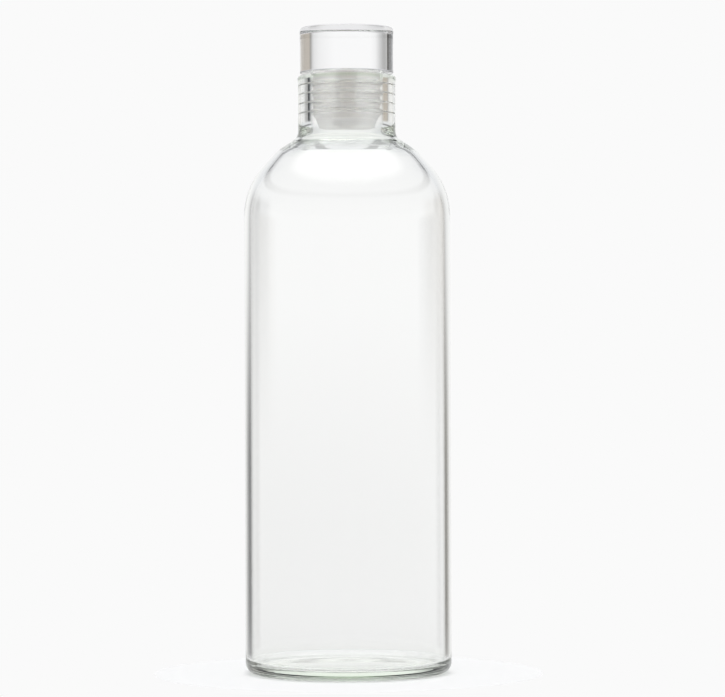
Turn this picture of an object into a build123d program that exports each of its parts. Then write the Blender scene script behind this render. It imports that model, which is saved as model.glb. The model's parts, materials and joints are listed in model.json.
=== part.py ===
"""A one-litre glass water bottle with a push-in stopper.

The bottle is one piece of blown borosilicate glass. Its stopper is a solid clear acrylic knob, a rigid
core bonded under the knob, and a finned silicone sleeve that the core's disc holds and that seals the neck.
Every piece is round about Z. The origin is the centre of the foot, and sizes are in millimetres.
"""

from build123d import *

import os
from math import cos, radians, tan

# Bottle, outside
BODY_RADIUS = 42.5
BOTTLE_HEIGHT = 246.1
FOOT_ROUND = 4.5
SHOULDER_HEIGHT = 200
SHOULDER_SLOPE = 48
SHOULDER_ROUND = 30
LEDGE_RADIUS = 29
LEDGE_SLOPE = 33
LEDGE_ROUND = 15
NECK_RADIUS = 20.1
NECK_ROUND = 5
RIM_ROUND = 1

# Bottle, inside
BODY_WALL = 2.5
SHOULDER_WALL = 2.73
NECK_WALL = 4.9
FLOOR_EDGE = 3.8
FLOOR_RISE = 0.8
FLOOR_ROUND = 2.5
INNER_SHOULDER_ROUND = 27.5
INNER_LEDGE_RADIUS = 27.2
INNER_LEDGE_SLOPE = 33
INNER_LEDGE_ROUND = 15
INNER_NECK_ROUND = 13

# Hollow under the foot
PUNT_RADIUS = 27
PUNT_DEPTH = 1.5

# Stopper
RIM_TO_KNOB = 1.2
TURN_GAP = 0.05
KNOB_RADIUS = 19.35
KNOB_HEIGHT = 18.5
KNOB_TOP_ROUND = 0.7
KNOB_BOTTOM_ROUND = 0.4
SLEEVE_RADIUS = 13.8
SLEEVE_LENGTH = 19.5
TIP_RADIUS = 12.4
TIP_LENGTH = 1.8
TIP_ROUND = 0.8
FIN_COUNT = 4
FIN_PITCH = 3.95
TOP_FIN_BELOW_RIM = 3.45
FIN_GAP = 0.1
FIN_ROOT = 2.5
FIN_EDGE = 1
FIN_ROUND = 0.4
CORE_RADIUS = 3.2
CORE_LENGTH = 17.5
ANCHOR_RADIUS = 6.5
ANCHOR_LENGTH = 1.8
ANCHOR_CHAMFER = 0.4

BORE_RADIUS = NECK_RADIUS - NECK_WALL
RIM_MIDDLE = (NECK_RADIUS - NECK_WALL / 2, BOTTLE_HEIGHT)
KNOB_BOTTOM = BOTTLE_HEIGHT + RIM_TO_KNOB


def turned(outline):
    """The solid that a closed outline, drawn as radius and height, sweeps in one turn about Z."""
    return revolve(Plane.XZ * make_face(outline), Axis.Z, 360)


def climb(start, slope, radius):
    """Where a slope that climbs inward from a point, at an angle in degrees, reaches that radius."""
    return radius, start[1] + (start[0] - radius) * tan(radians(slope))


def dome(radius, base, rise):
    """A shallow arc from the axis down to that radius, highest at the axis."""
    sphere = (radius**2 + rise**2) / (2 * rise)
    return RadiusArc((0, base + rise), (radius, base), sphere)


def bottle_outside():
    """The outer line: from the foot ring up the wall and shoulder, over a ledge, to the rim's middle."""
    shoulder = (BODY_RADIUS, SHOULDER_HEIGHT)
    ledge = climb(shoulder, SHOULDER_SLOPE, LEDGE_RADIUS)
    neck = climb(ledge, LEDGE_SLOPE, NECK_RADIUS)
    return FilletPolyline(
        (PUNT_RADIUS, 0),
        (BODY_RADIUS, 0),
        shoulder,
        ledge,
        neck,
        (NECK_RADIUS, BOTTLE_HEIGHT),
        RIM_MIDDLE,
        radius=[FOOT_ROUND, SHOULDER_ROUND, LEDGE_ROUND, NECK_ROUND, RIM_ROUND],
    )


def bottle_inside():
    """The inner line: from the floor's edge up the wall and shoulder, through the bore, to the rim."""
    slope = radians(SHOULDER_SLOPE)
    wall_radius = BODY_RADIUS - BODY_WALL
    shoulder_height = SHOULDER_HEIGHT + BODY_WALL * tan(slope) - SHOULDER_WALL / cos(slope)
    shoulder = (wall_radius, shoulder_height)
    ledge = climb(shoulder, SHOULDER_SLOPE, INNER_LEDGE_RADIUS)
    neck = climb(ledge, INNER_LEDGE_SLOPE, BORE_RADIUS)
    return FilletPolyline(
        (wall_radius - 2 * FLOOR_ROUND, FLOOR_EDGE),
        (wall_radius, FLOOR_EDGE),
        shoulder,
        ledge,
        neck,
        (BORE_RADIUS, BOTTLE_HEIGHT),
        RIM_MIDDLE,
        radius=[FLOOR_ROUND, INNER_SHOULDER_ROUND, INNER_LEDGE_ROUND, INNER_NECK_ROUND, RIM_ROUND],
    )


def bottle_body():
    """The blown bottle: a domed floor with a hollow under it, straight walls, and a thick neck."""
    outside = bottle_outside()
    inside = bottle_inside()
    punt = dome(PUNT_RADIUS, 0, PUNT_DEPTH)
    floor = dome((inside @ 0).X, FLOOR_EDGE, FLOOR_RISE)
    axis = Line(punt @ 0, floor @ 0)
    return turned([axis, punt, outside, inside, floor])


def core_outline(gap):
    """The core with that gap left all round it: a straight stem on an anchor disc."""
    stem = CORE_RADIUS + gap
    anchor = ANCHOR_RADIUS + gap
    foot = KNOB_BOTTOM - CORE_LENGTH - gap
    anchor_top = foot + ANCHOR_LENGTH + 2 * gap
    return Polyline(
        (0, foot),
        (anchor - ANCHOR_CHAMFER, foot),
        (anchor, foot + ANCHOR_CHAMFER),
        (anchor, anchor_top - ANCHOR_CHAMFER),
        (anchor - ANCHOR_CHAMFER, anchor_top),
        (stem, anchor_top),
        (stem, KNOB_BOTTOM),
        (0, KNOB_BOTTOM),
        close=True,
    )


def fin(height):
    """One sealing fin: a low ring that thins to a round edge just clear of the bore."""
    tip = BORE_RADIUS - FIN_GAP
    buried = SLEEVE_RADIUS - 1
    outline = Polyline(
        (buried, FIN_ROOT / 2),
        (SLEEVE_RADIUS, FIN_ROOT / 2),
        (tip, FIN_EDGE / 2),
        (tip, -FIN_EDGE / 2),
        (SLEEVE_RADIUS, -FIN_ROOT / 2),
        (buried, -FIN_ROOT / 2),
        close=True,
    )
    section = make_face(outline)
    section = fillet(section.vertices().sort_by(Axis.X)[-2:], FIN_ROUND)
    return Pos(0, 0, height) * revolve(Plane.XZ * section, Axis.Z, 360)


def sealing_sleeve():
    """The silicone sleeve: a plug with a tapered tip, four fins, and a blind hole for the core."""
    top = KNOB_BOTTOM - TURN_GAP
    bottom = top - SLEEVE_LENGTH
    side = FilletPolyline(
        (0, bottom),
        (TIP_RADIUS, bottom),
        (SLEEVE_RADIUS, bottom + TIP_LENGTH),
        (SLEEVE_RADIUS, top),
        radius=[TIP_ROUND, TIP_LENGTH],
    )
    sleeve = turned([side, Polyline(side @ 1, (0, top), side @ 0)])
    for number in range(FIN_COUNT):
        sleeve += fin(BOTTLE_HEIGHT - TOP_FIN_BELOW_RIM - number * FIN_PITCH)
    return sleeve - turned(core_outline(TURN_GAP))


def stopper_core():
    """The rigid core inside the sleeve: a stem bonded to the knob's underside, and its anchor disc."""
    return turned(core_outline(0))


def stopper_knob():
    """The solid clear knob: a short cylinder with rounded edges."""
    knob = Cylinder(KNOB_RADIUS, KNOB_HEIGHT, align=(Align.CENTER, Align.CENTER, Align.MIN))
    knob = fillet(knob.edges().filter_by(GeomType.CIRCLE).sort_by(Axis.Z)[-1], KNOB_TOP_ROUND)
    knob = fillet(knob.edges().filter_by(GeomType.CIRCLE).sort_by(Axis.Z)[0], KNOB_BOTTOM_ROUND)
    return Pos(0, 0, KNOB_BOTTOM) * knob


def main():
    """Write each piece to its own file."""
    os.makedirs("parts", exist_ok=True)
    for make in (bottle_body, sealing_sleeve, stopper_core, stopper_knob):
        export_step(make(), f"parts/{make.__name__}.step")


main()
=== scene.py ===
"""A one-litre clear glass water bottle with a push-in stopper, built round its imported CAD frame.

Each CAD node is replaced by a finely lathed piece of the same size, with the small unevenness of
blown glass and moulded silicone. Lengths are in metres, with Z up and the foot's centre at the origin.
"""

import json
import math

import bpy
import numpy as np
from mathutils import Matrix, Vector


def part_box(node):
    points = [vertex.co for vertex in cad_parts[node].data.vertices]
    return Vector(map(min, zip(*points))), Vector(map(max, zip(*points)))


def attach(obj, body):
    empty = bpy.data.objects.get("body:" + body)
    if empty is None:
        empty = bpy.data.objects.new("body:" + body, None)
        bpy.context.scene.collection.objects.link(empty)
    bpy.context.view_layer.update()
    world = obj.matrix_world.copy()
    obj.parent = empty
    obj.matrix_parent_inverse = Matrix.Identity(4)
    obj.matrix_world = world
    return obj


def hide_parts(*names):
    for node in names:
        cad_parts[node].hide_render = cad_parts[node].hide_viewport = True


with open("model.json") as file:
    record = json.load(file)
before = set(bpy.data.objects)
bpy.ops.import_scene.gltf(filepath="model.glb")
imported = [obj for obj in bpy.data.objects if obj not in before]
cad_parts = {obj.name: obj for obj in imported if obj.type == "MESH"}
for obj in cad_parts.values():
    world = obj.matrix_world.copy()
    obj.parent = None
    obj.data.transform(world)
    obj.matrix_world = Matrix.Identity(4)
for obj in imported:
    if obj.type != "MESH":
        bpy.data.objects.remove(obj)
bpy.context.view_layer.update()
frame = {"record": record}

MM = 0.001
mounts = {mount["name"]: mount for mount in frame["record"]["mounts"]}

# Glass
BODY_RADIUS = mounts["body_outside"]["dims"]["r_mm"] * MM
NECK_RADIUS = mounts["neck_outside"]["dims"]["r_mm"] * MM
RIM_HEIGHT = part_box("bottle_body")[1].z
BODY_WALL = 2.5 * MM
SHOULDER_WALL = 2.73 * MM
NECK_WALL = 4.9 * MM
BORE_RADIUS = NECK_RADIUS - NECK_WALL
FOOT_ROUND = 4.5 * MM
SHOULDER_HEIGHT = 200 * MM
SHOULDER_SLOPE = 48
SHOULDER_ROUND = 30 * MM
LEDGE_RADIUS = 29 * MM
LEDGE_SLOPE = 33
LEDGE_ROUND = 15 * MM
NECK_ROUND = 5 * MM
RIM_ROUND = 1 * MM
FLOOR_EDGE = 3.8 * MM
FLOOR_RISE = 0.8 * MM
FLOOR_ROUND = 2.5 * MM
INNER_SHOULDER_ROUND = 27.5 * MM
INNER_LEDGE_RADIUS = 27.2 * MM
INNER_LEDGE_SLOPE = 33
INNER_LEDGE_ROUND = 15 * MM
INNER_NECK_ROUND = 13 * MM
PUNT_RADIUS = 27 * MM
PUNT_DEPTH = 1.5 * MM

# Stopper
KNOB_LOW, KNOB_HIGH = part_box("stopper_knob")
KNOB_RADIUS = KNOB_HIGH.x
KNOB_TOP_ROUND = 0.7 * MM
KNOB_BOTTOM_ROUND = 0.4 * MM
SLEEVE_LOW, SLEEVE_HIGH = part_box("sealing_sleeve")
SLEEVE_RADIUS = 13.8 * MM
TIP_RADIUS = 12.4 * MM
TIP_ROUND = 0.8 * MM
FIN_COUNT = 4
FIN_PITCH = 3.95 * MM
TOP_FIN_BELOW_RIM = 3.45 * MM
FIN_ROOT = 2.5 * MM
FIN_EDGE = 1 * MM
FIN_ROUND = 0.4 * MM
FIN_ROOT_ROUND = 0.35 * MM
FIN_PRESS = 0.005 * MM
CORE_LOW, CORE_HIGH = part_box("stopper_core")
CORE_RADIUS = 3.2 * MM
ANCHOR_RADIUS = CORE_HIGH.x
ANCHOR_LENGTH = 1.8 * MM
ANCHOR_CHAMFER = 0.4 * MM
CORE_BOND = 0.05 * MM
STEM_ROUND = 0.1 * MM
BOND_ROUND = 0.05 * MM
TURN_GAP = 0.05 * MM
SLEEVE_EDGE_ROUND = 0.3 * MM
HOLE_EDGE_ROUND = 0.2 * MM
HOLE_CORNER_ROUND = 0.1 * MM
POCKET_ROUND = 0.4 * MM

# Unevenness of the worked glass: each ring on the ledge is its height, how far it stands out and its width
RIM_BEAD = 0.3 * MM
RIM_BEAD_BELOW_RIM = 1.2 * MM
RIM_BEAD_WIDTH = 0.9 * MM
LEDGE_RINGS = [(219.6 * MM, 0.22 * MM, 0.7 * MM), (217.4 * MM, 0.25 * MM, 0.8 * MM)]
RING_SWAY = 0.35
RIPPLE_DEPTH = 0.05 * MM
RIPPLES_AROUND = 64
RIPPLE_SIDE = math.radians(222)
RIPPLE_REACH = math.radians(16)

# Mesh fineness
AROUND = 320
ARC_STEP = math.radians(4)
STRAIGHT_STEP = 2.5 * MM


# ---------------------------------------------------------------------------- outlines


def climb(start, slope, radius):
    """Where a slope that climbs inward from a point, at an angle in degrees, reaches that radius."""
    return radius, start[1] + (start[0] - radius) * math.tan(math.radians(slope))


def straight(start, end):
    """Points from start up to, but without, end, evenly spaced."""
    count = max(1, math.ceil(math.dist(start, end) / STRAIGHT_STEP))
    shares = np.arange(count)[:, None] / count
    return list(np.array(start) + (np.array(end) - np.array(start)) * shares)


def rounded(corners):
    """A line through (radius, height, rounding) corners, with an arc of the rounding at each corner."""
    line = []
    here = np.array(corners[0][:2])
    for before, corner, after in zip(corners, corners[1:], corners[2:]):
        middle = np.array(corner[:2])
        back = np.array(before[:2]) - middle
        onward = np.array(after[:2]) - middle
        back /= np.linalg.norm(back)
        onward /= np.linalg.norm(onward)
        half_angle = math.acos(np.clip(back @ onward, -1, 1)) / 2
        reach = corner[2] / math.tan(half_angle)
        centre = middle + (back + onward) / np.linalg.norm(back + onward) * corner[2] / math.sin(half_angle)
        first = middle + back * reach
        last = middle + onward * reach
        line += straight(here, first)
        turn = math.pi - 2 * half_angle
        count = max(1, math.ceil(turn / ARC_STEP))
        side = 1 if back[0] * onward[1] - back[1] * onward[0] < 0 else -1
        for number in range(count):
            angle = side * turn * number / count
            arm = first - centre
            line.append(
                centre
                + np.array(
                    [
                        arm[0] * math.cos(angle) - arm[1] * math.sin(angle),
                        arm[0] * math.sin(angle) + arm[1] * math.cos(angle),
                    ]
                )
            )
        here = last
    line += straight(here, corners[-1][:2])
    line.append(np.array(corners[-1][:2]))
    return np.array(line)


def dome(radius, base, rise):
    """A shallow crown from the axis out to that radius, highest at the axis."""
    count = math.ceil(radius / STRAIGHT_STEP)
    radii = np.linspace(0, radius, count + 1)
    return np.column_stack([radii, base + rise * (1 - (radii / radius) ** 2)])


def bottle_outside():
    """From the foot ring up the wall and shoulder, over the ledge, to the middle of the rim."""
    shoulder = (BODY_RADIUS, SHOULDER_HEIGHT)
    ledge = climb(shoulder, SHOULDER_SLOPE, LEDGE_RADIUS)
    neck = climb(ledge, LEDGE_SLOPE, NECK_RADIUS)
    return rounded(
        [
            (PUNT_RADIUS, 0, 0),
            (BODY_RADIUS, 0, FOOT_ROUND),
            (*shoulder, SHOULDER_ROUND),
            (*ledge, LEDGE_ROUND),
            (*neck, NECK_ROUND),
            (NECK_RADIUS, RIM_HEIGHT, RIM_ROUND),
            (NECK_RADIUS - NECK_WALL / 2, RIM_HEIGHT, 0),
        ]
    )


def bottle_inside():
    """From the floor's edge up the wall and shoulder, through the bore, to the middle of the rim."""
    slope = math.radians(SHOULDER_SLOPE)
    wall_radius = BODY_RADIUS - BODY_WALL
    height = SHOULDER_HEIGHT + BODY_WALL * math.tan(slope) - SHOULDER_WALL / math.cos(slope)
    shoulder = (wall_radius, height)
    ledge = climb(shoulder, SHOULDER_SLOPE, INNER_LEDGE_RADIUS)
    neck = climb(ledge, INNER_LEDGE_SLOPE, BORE_RADIUS)
    return rounded(
        [
            (wall_radius - 2 * FLOOR_ROUND, FLOOR_EDGE, 0),
            (wall_radius, FLOOR_EDGE, FLOOR_ROUND),
            (*shoulder, INNER_SHOULDER_ROUND),
            (*ledge, INNER_LEDGE_ROUND),
            (*neck, INNER_NECK_ROUND),
            (BORE_RADIUS, RIM_HEIGHT, RIM_ROUND),
            (NECK_RADIUS - NECK_WALL / 2, RIM_HEIGHT, 0),
        ]
    )


# ---------------------------------------------------------------------------- meshes


def lathe(name, outline, uneven=None):
    """A closed smooth mesh that an outline from axis to axis sweeps round Z.

    uneven(radius, height, angle) gives how far each point moves out, square to the outline."""
    inner = outline[1:-1]
    radius, height = inner[:, :1], inner[:, 1:]
    along = np.gradient(outline, axis=0)[1:-1]
    along /= np.linalg.norm(along, axis=1)[:, None]
    angle = np.arange(AROUND)[None, :] * (2 * math.pi / AROUND)
    push = uneven(radius, height, angle) if uneven else np.zeros((len(inner), AROUND))
    swept_radius = radius + push * along[:, 1:]
    swept_height = height - push * along[:, :1]
    rings = np.stack([swept_radius * np.cos(angle), swept_radius * np.sin(angle), swept_height], axis=-1)
    points = [(0, 0, outline[0][1]), *rings.reshape(-1, 3).tolist(), (0, 0, outline[-1][1])]
    faces = []
    last = len(inner) - 1
    for step in range(AROUND):
        beside = (step + 1) % AROUND
        faces.append((0, 1 + beside, 1 + step))
        faces.append((len(points) - 1, 1 + last * AROUND + step, 1 + last * AROUND + beside))
        for ring in range(last):
            low = 1 + ring * AROUND
            high = low + AROUND
            faces.append((low + step, low + beside, high + beside, high + step))
    mesh = bpy.data.meshes.new(name)
    mesh.from_pydata(points, [], faces)
    mesh.shade_smooth()
    piece = bpy.data.objects.new(name, mesh)
    bpy.context.scene.collection.objects.link(piece)
    return piece


def hill(value, centre, width):
    """A smooth bump of height 1 at the centre."""
    return np.exp(-(((value - centre) / width) ** 2))


def bottle_unevenness(radius, height, angle):
    """Worked glass: a bead at the rim, soft rings on the ledge and ripples on one side of the foot."""
    on_outside = radius > NECK_RADIUS - RIM_ROUND / 2
    bead = RIM_BEAD * hill(height, RIM_HEIGHT - RIM_BEAD_BELOW_RIM, RIM_BEAD_WIDTH) * on_outside
    rings = sum(depth * hill(height, middle, width) for middle, depth, width in LEDGE_RINGS)
    sway = 1 + RING_SWAY * np.sin(3 * angle + 0.6)
    at_foot = hill(height, 2 * MM, 3 * MM) * hill(radius, 40 * MM, 4 * MM)
    ripples = RIPPLE_DEPTH * np.sin(RIPPLES_AROUND * angle) * hill(angle, RIPPLE_SIDE, RIPPLE_REACH)
    return bead + rings * sway + ripples * at_foot


def glass_bottle():
    """The bottle as one closed shell, from the punt's middle over the rim to the floor's middle."""
    inside = bottle_inside()
    punt = dome(PUNT_RADIUS, 0, PUNT_DEPTH)
    floor = dome(inside[0][0], FLOOR_EDGE, FLOOR_RISE)
    outline = np.vstack([punt[:-1], bottle_outside(), inside[-2::-1], floor[-2::-1]])
    return lathe("glass_bottle", outline, bottle_unevenness)


def clear_knob():
    """The solid knob, with eased edges."""
    outline = rounded(
        [
            (0, KNOB_LOW.z, 0),
            (KNOB_RADIUS, KNOB_LOW.z, KNOB_BOTTOM_ROUND),
            (KNOB_RADIUS, KNOB_HIGH.z, KNOB_TOP_ROUND),
            (0, KNOB_HIGH.z, 0),
        ]
    )
    return lathe("clear_knob", outline)


def fin_corners(height):
    """One low fin from its lower root to its upper root, with a round edge pressed on the bore."""
    tip = BORE_RADIUS + FIN_PRESS
    return [
        (SLEEVE_RADIUS, height - FIN_ROOT / 2, FIN_ROOT_ROUND),
        (tip, height - FIN_EDGE / 2, FIN_ROUND),
        (tip, height + FIN_EDGE / 2, FIN_ROUND),
        (SLEEVE_RADIUS, height + FIN_ROOT / 2, FIN_ROOT_ROUND),
    ]


def finned_sleeve():
    """The silicone plug: a tapered tip, fins above it, and a blind hole that fits round the core."""
    low, high = SLEEVE_LOW.z, SLEEVE_HIGH.z
    corners = [
        (0, low, 0),
        (TIP_RADIUS, low, TIP_ROUND),
    ]
    for number in reversed(range(FIN_COUNT)):
        corners += fin_corners(RIM_HEIGHT - TOP_FIN_BELOW_RIM - number * FIN_PITCH)
    hole = CORE_RADIUS + TURN_GAP
    pocket = ANCHOR_RADIUS + TURN_GAP
    pocket_floor = CORE_LOW.z - TURN_GAP
    pocket_top = pocket_floor + ANCHOR_LENGTH + 2 * TURN_GAP
    corners += [
        (SLEEVE_RADIUS, high, SLEEVE_EDGE_ROUND),
        (hole, high, HOLE_EDGE_ROUND),
        (hole, pocket_top, HOLE_CORNER_ROUND),
        (pocket, pocket_top, POCKET_ROUND),
        (pocket, pocket_floor, POCKET_ROUND),
        (0, pocket_floor, 0),
    ]
    return lathe("finned_sleeve", rounded(corners))


def sleeve_core():
    """The rigid core: its anchor disc, and the stem, which reaches just into the knob as their bond."""
    low, high = CORE_LOW.z, CORE_HIGH.z
    outline = rounded(
        [
            (0, low, 0),
            (ANCHOR_RADIUS, low, ANCHOR_CHAMFER),
            (ANCHOR_RADIUS, low + ANCHOR_LENGTH, ANCHOR_CHAMFER),
            (CORE_RADIUS, low + ANCHOR_LENGTH, STEM_ROUND),
            (CORE_RADIUS, high + CORE_BOND, BOND_ROUND),
            (0, high + CORE_BOND, 0),
        ]
    )
    return lathe("sleeve_core", outline)


# ---------------------------------------------------------------------------- materials


def new_material(name):
    """A material with a Principled shader, its node tree and the shader."""
    material = bpy.data.materials.new(name)
    material.use_nodes = True
    tree = material.node_tree
    return material, tree, tree.nodes["Principled BSDF"]


def noise(tree, scale, detail=3):
    """A noise pattern in the object's own space, scale in waves per metre."""
    place = tree.nodes.new("ShaderNodeTexCoord")
    pattern = tree.nodes.new("ShaderNodeTexNoise")
    pattern.inputs["Scale"].default_value = scale
    pattern.inputs["Detail"].default_value = detail
    tree.links.new(place.outputs["Object"], pattern.inputs["Vector"])
    return pattern.outputs["Fac"]


def spread(tree, value, low, high, start=0.3, end=0.7):
    """The value's range from start to end, stretched over low to high."""
    node = tree.nodes.new("ShaderNodeMapRange")
    node.inputs["From Min"].default_value = start
    node.inputs["From Max"].default_value = end
    node.inputs["To Min"].default_value = low
    node.inputs["To Max"].default_value = high
    tree.links.new(value, node.inputs["Value"])
    return node.outputs["Result"]


def ramp(tree, value, stops):
    """A colour ramp on the value, from (place, colour) stops, the first of them at or below 0."""
    node = tree.nodes.new("ShaderNodeValToRGB")
    tree.links.new(value, node.inputs["Fac"])
    elements = node.color_ramp.elements
    elements.remove(elements[1])
    for number, (position, colour) in enumerate(stops):
        element = elements[0] if number == 0 else elements.new(position)
        element.position = position
        element.color = (*colour, 1)
    return node.outputs["Color"]


def height_above_foot(tree):
    """How high a point of the piece lies in the object's own space."""
    place = tree.nodes.new("ShaderNodeTexCoord")
    parts = tree.nodes.new("ShaderNodeSeparateXYZ")
    tree.links.new(place.outputs["Object"], parts.inputs["Vector"])
    return parts.outputs["Z"]


def distance_from_axis(tree):
    """How far a point of the piece lies from its axis."""
    place = tree.nodes.new("ShaderNodeTexCoord")
    level = tree.nodes.new("ShaderNodeVectorMath")
    level.operation = "MULTIPLY"
    level.inputs[1].default_value = (1, 1, 0)
    length = tree.nodes.new("ShaderNodeVectorMath")
    length.operation = "LENGTH"
    tree.links.new(place.outputs["Object"], level.inputs[0])
    tree.links.new(level.outputs["Vector"], length.inputs[0])
    return length.outputs["Value"]


def bump(tree, shader, value, depth):
    """Relief of that depth, in metres, on the shader's normal."""
    node = tree.nodes.new("ShaderNodeBump")
    node.inputs["Strength"].default_value = 1
    node.inputs["Distance"].default_value = depth
    tree.links.new(value, node.inputs["Height"])
    tree.links.new(node.outputs["Normal"], shader.inputs["Normal"])


def clear_solid(name, ior, tint, density):
    """A polished clear material that takes its tint from how thick it is."""
    material, tree, shader = new_material(name)
    shader.inputs["Base Color"].default_value = (1, 1, 1, 1)
    shader.inputs["Transmission Weight"].default_value = 1
    shader.inputs["IOR"].default_value = ior
    tree.links.new(spread(tree, noise(tree, 60), 0.0, 0.005), shader.inputs["Roughness"])
    depth = tree.nodes.new("ShaderNodeVolumeAbsorption")
    depth.inputs["Color"].default_value = (*tint, 1)
    depth.inputs["Density"].default_value = density
    output = tree.nodes["Material Output"]
    tree.links.new(depth.outputs["Volume"], output.inputs["Volume"])
    return material


def bottle_glass():
    """Borosilicate glass: green where it was worked thick, at the rim, ledge and foot, and a painted shade
    that greys it low down.
    """
    material = clear_solid("bottle_glass", 1.47, (0.45, 0.8, 0.3), 2.4)
    tree = material.node_tree
    share = spread(tree, height_above_foot(tree), 0, 1, 0, RIM_HEIGHT)
    clear = (1.0, 1.0, 1.0)
    # The greys low down, fading out by 150 mm, are painted shade that darkens the lower body; the green
    # tints at the ledge and rim are the glass's own colour
    tints_and_painted_shade = [
        (0, (0.975, 0.98, 0.97)),
        (7 * MM, (0.975, 0.98, 0.97)),
        (12 * MM, (0.965, 0.965, 0.965)),
        (60 * MM, (0.97, 0.97, 0.97)),
        (150 * MM, clear),
        (214 * MM, clear),
        (218 * MM, (0.95, 0.965, 0.945)),
        (222 * MM, (0.965, 0.975, 0.96)),
        (227 * MM, clear),
        (RIM_HEIGHT - 1.6 * MM, clear),
        (RIM_HEIGHT - 1.0 * MM, (0.86, 0.91, 0.83)),
    ]
    colour = ramp(tree, share, [(height / RIM_HEIGHT, tint) for height, tint in tints_and_painted_shade])
    tree.links.new(colour, tree.nodes["Principled BSDF"].inputs["Base Color"])
    return material


def clear_acrylic():
    """Neutral polished acrylic."""
    return clear_solid("clear_acrylic", 1.49, (0.9, 0.92, 0.95), 3)


def frosted_silicone():
    """Translucent silicone with a matt moulded skin, a little smoother on the fins."""
    material, tree, shader = new_material("frosted_silicone")
    shader.inputs["Base Color"].default_value = (0.965, 0.955, 0.93, 1)
    shader.inputs["Transmission Weight"].default_value = 0.7
    shader.inputs["IOR"].default_value = 1.41
    shader.inputs["Subsurface Weight"].default_value = 1
    shader.inputs["Subsurface Radius"].default_value = (0.002, 0.002, 0.002)
    skin = spread(tree, distance_from_axis(tree), 0.35, 0.25, SLEEVE_RADIUS, SLEEVE_HIGH.x)
    tree.links.new(skin, shader.inputs["Roughness"])
    bump(tree, shader, noise(tree, 1500, 2), 0.02 * MM)
    return material


def core_plastic():
    """Natural translucent plastic, a warm grey."""
    material, tree, shader = new_material("core_plastic")
    shader.inputs["Base Color"].default_value = (0.50, 0.45, 0.385, 1)
    shader.inputs["Transmission Weight"].default_value = 0.2
    shader.inputs["IOR"].default_value = 1.49
    tree.links.new(spread(tree, noise(tree, 400), 0.25, 0.4), shader.inputs["Roughness"])
    return material


# ---------------------------------------------------------------------------- studio

CAMERA_DISTANCE = 1.230
EYE_HEIGHT = 0.1193
CAMERA_LENS = 147.9
CAMERA_TURN = 0.285
CAMERA_TILT = 0.664
CAMERA_ROLL = 0.2
CAMERA_REACH = 20
TABLE_RADIUS = 0.08
TABLE_GAP = 0.05 * MM
TABLE_WHITE = 0.84
CLEAR_BOUNCES = 32
SOFT_BOUNCES = 16

# The cloths hung round the bottle, as degrees clockwise from +Y and colour, above the horizon and below it
CLOTHS_ABOVE = [
    (-180, (1.00, 1.00, 1.00)),
    (-84, (1.00, 1.00, 1.00)),
    (-78, (0.13, 0.14, 0.15)),
    (-54, (0.13, 0.14, 0.15)),
    (-53, (0.00, 0.00, 0.00)),
    (-48.8, (0.00, 0.00, 0.00)),
    (-48.0, (0.54, 0.54, 0.54)),
    (-44, (0.46, 0.46, 0.46)),
    (-42, (0.43, 0.43, 0.43)),
    (-38, (0.48, 0.48, 0.48)),
    (-34, (0.60, 0.60, 0.60)),
    (-27, (0.92, 0.92, 0.92)),
    (-21, (1.00, 1.00, 1.00)),
    (10, (1.00, 1.00, 1.00)),
    (25, (0.90, 0.90, 0.90)),
    (32, (0.78, 0.78, 0.78)),
    (35, (0.62, 0.62, 0.62)),
    (37, (0.36, 0.35, 0.34)),
    (39, (0.36, 0.34, 0.31)),
    (40.5, (0.55, 0.50, 0.44)),
    (78, (0.50, 0.46, 0.40)),
    (84, (1.00, 1.00, 1.00)),
]
CLOTHS_BELOW = [
    (-180, (1.00, 1.00, 1.00)),
    (-44, (1.00, 1.00, 1.00)),
    (-37, (0.22, 0.22, 0.22)),
    (-29, (0.22, 0.22, 0.22)),
    (-22, (0.50, 0.50, 0.50)),
    (-17, (0.74, 0.74, 0.74)),
    (-11, (0.96, 0.96, 0.96)),
    (11, (1.00, 1.00, 1.00)),
    (17, (0.92, 0.92, 0.92)),
    (22, (0.80, 0.79, 0.77)),
    (29, (0.26, 0.25, 0.23)),
    (37, (0.26, 0.25, 0.23)),
    (44, (1.00, 1.00, 1.00)),
]
BACKDROP_WHITE = 0.956
PALE = (0.84, 0.84, 0.85)
WALLS = (0.85, 0.86, 0.88)
GAP = (0.28, 0.28, 0.29)
CEILING = (1.95, 1.95, 1.95)

# What lies below and above the cloths: the degrees of elevation over which it fades in, and its colour
BANDS = [
    (-4, -8, PALE),
    (10, 20, WALLS),
    (24, 26, GAP),
    (30, 32, WALLS),
    (45, 60, CEILING),
]


def cloths(tree, angle, colours):
    """The colours hung round the horizon, from (degrees, colour) stops; angle is in radians."""
    first = colours[0][0]
    share = spread(tree, angle, 0, 1, math.radians(first), math.pi)
    return ramp(tree, share, [((degrees - first) / (180 - first), colour) for degrees, colour in colours])


def fade(tree, height, start, end, before, after):
    """One colour changing smoothly to another between two heights above the horizon, in degrees."""
    share = tree.nodes.new("ShaderNodeMapRange")
    share.interpolation_type = "SMOOTHSTEP"
    share.inputs["From Min"].default_value = math.sin(math.radians(start))
    share.inputs["From Max"].default_value = math.sin(math.radians(end))
    tree.links.new(height, share.inputs["Value"])
    mix = tree.nodes.new("ShaderNodeMix")
    mix.data_type = "RGBA"
    tree.links.new(share.outputs["Result"], mix.inputs["Factor"])
    tree.links.new(before, mix.inputs[6])
    if isinstance(after, bpy.types.NodeSocket):
        tree.links.new(after, mix.inputs[7])
    else:
        mix.inputs[7].default_value = (*after, 1)
    return mix.outputs[2]


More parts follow.
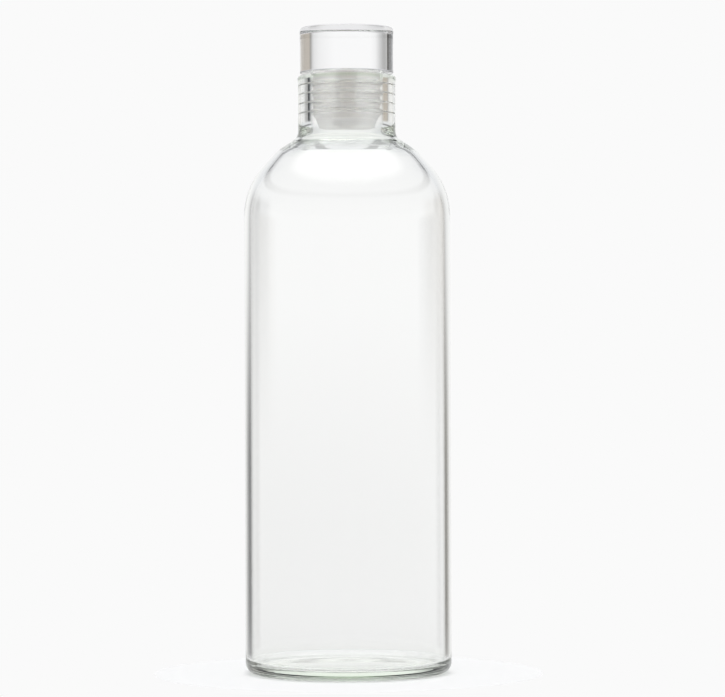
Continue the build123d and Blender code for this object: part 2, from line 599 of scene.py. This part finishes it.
def surround():
    """The studio: white, grey and beige cloths, pale walls with a dark gap, and a bright ceiling.

    Seen straight on, its backdrop is plain; the rest shows only in and through the glass."""
    world = bpy.data.worlds.new("studio")
    bpy.context.scene.world = world
    world.use_nodes = True
    tree = world.node_tree
    place = tree.nodes.new("ShaderNodeTexCoord")
    parts = tree.nodes.new("ShaderNodeSeparateXYZ")
    tree.links.new(place.outputs["Generated"], parts.inputs["Vector"])
    azimuth = tree.nodes.new("ShaderNodeMath")
    azimuth.operation = "ARCTAN2"
    tree.links.new(parts.outputs["X"], azimuth.inputs[0])
    tree.links.new(parts.outputs["Y"], azimuth.inputs[1])
    below = cloths(tree, azimuth.outputs["Value"], CLOTHS_BELOW)
    height = parts.outputs["Z"]
    colour = fade(tree, height, -2, 4, below, cloths(tree, azimuth.outputs["Value"], CLOTHS_ABOVE))
    for start, end, band in BANDS:
        colour = fade(tree, height, start, end, colour, band)
    straight_on = tree.nodes.new("ShaderNodeLightPath")
    backdrop = tree.nodes.new("ShaderNodeMix")
    backdrop.data_type = "RGBA"
    backdrop.inputs[7].default_value = (1, 1, 1, 1)
    tree.links.new(straight_on.outputs["Is Camera Ray"], backdrop.inputs["Factor"])
    tree.links.new(colour, backdrop.inputs[6])
    shader = tree.nodes["Background"]
    shader.inputs["Strength"].default_value = BACKDROP_WHITE
    tree.links.new(backdrop.outputs[2], shader.inputs["Color"])


def table_top():
    """A round pale table top, a hair below the foot."""
    bpy.ops.mesh.primitive_circle_add(vertices=256, radius=TABLE_RADIUS, fill_type="NGON")
    top = bpy.context.object
    top.name = "table_top"
    top.location.z = -TABLE_GAP
    material, tree, shader = new_material("table_white")
    shader.inputs["Base Color"].default_value = (TABLE_WHITE, TABLE_WHITE, TABLE_WHITE, 1)
    shader.inputs["Roughness"].default_value = 0.9
    shader.inputs["Specular IOR Level"].default_value = 0
    top.data.materials.append(material)


def camera():
    """The camera, a little below the height of the bottle's middle, on a long lens."""
    data = bpy.data.cameras.new("camera")
    data.lens = CAMERA_LENS
    data.clip_end = CAMERA_REACH
    view = bpy.data.objects.new("camera", data)
    view.location = (0, -CAMERA_DISTANCE, EYE_HEIGHT)
    view.rotation_mode = "XYZ"
    view.rotation_euler = [math.radians(a) for a in (90 + CAMERA_TILT, CAMERA_ROLL, -CAMERA_TURN)]
    bpy.context.scene.collection.objects.link(view)
    bpy.context.scene.camera = view


def light_paths():
    """Plain colours, and enough bounces for light to cross every clear wall."""
    scene = bpy.context.scene
    scene.view_settings.view_transform = "Standard"
    scene.cycles.max_bounces = CLEAR_BOUNCES
    scene.cycles.transmission_bounces = CLEAR_BOUNCES
    scene.cycles.glossy_bounces = SOFT_BOUNCES
    scene.cycles.diffuse_bounces = SOFT_BOUNCES
    scene.cycles.blur_glossy = 0


# ---------------------------------------------------------------------------- assembly


def place(piece, node, body, slot, material):
    """Put a finished piece in the place of its CAD node."""
    piece.data.materials.append(material)
    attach(piece, body)
    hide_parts(node)


place(glass_bottle(), "bottle_body", "bottle", "bottle_glass", bottle_glass())
place(finned_sleeve(), "sealing_sleeve", "sleeve", "frosted_silicone", frosted_silicone())
place(sleeve_core(), "stopper_core", "knob", "core_plastic", core_plastic())
place(clear_knob(), "stopper_knob", "knob", "clear_acrylic", clear_acrylic())
surround()
table_top()
camera()
light_paths()
